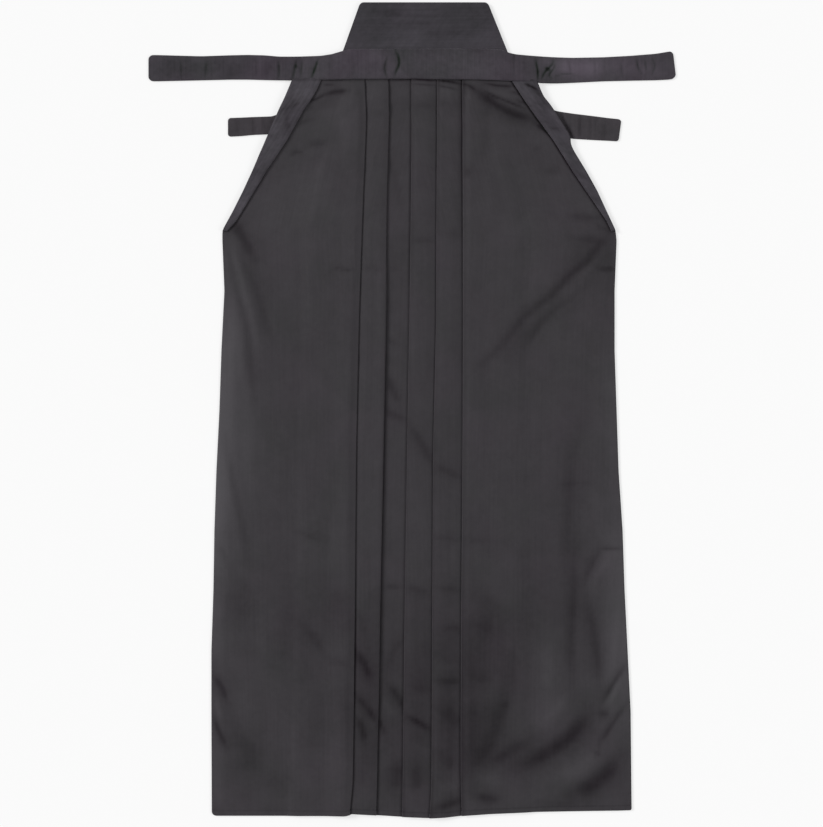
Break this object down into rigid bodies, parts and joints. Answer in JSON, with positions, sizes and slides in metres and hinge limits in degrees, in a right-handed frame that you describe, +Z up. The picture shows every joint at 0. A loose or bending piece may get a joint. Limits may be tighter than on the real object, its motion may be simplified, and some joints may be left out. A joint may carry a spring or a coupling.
{
  "type": "hakama trousers",
  "caption": "Dark pleated hakama trousers laid flat with the front up: stiff back board, waist bands with their ties, slanting side openings and long straight legs.",
  "frame": {"origin": "under the middle of the whole, on the surface that the garment lies on", "axes": "+Y from the hem to the waist, +X to the right seen from above, +Z up, out of the front"},
  "size_m": [0.6838, 1.0594, 0.0105],
  "materials": {
    "body_cloth": "charcoal twill, slight sheen",
    "band_cloth": "charcoal twill, doubled and pressed",
    "board_cloth": "charcoal twill over a stiff board"
  },
  "bodies": {
    "root": {"back_board": "board_cloth", "back_band": "band_cloth", "back_left": "body_cloth", "back_right": "body_cloth", "gusset_left": "body_cloth", "gusset_right": "body_cloth", "front_left": "body_cloth", "front_right": "body_cloth", "side_fold_left": "body_cloth", "side_fold_right": "body_cloth", "front_band": "band_cloth"}
  },
  "joints": []
}
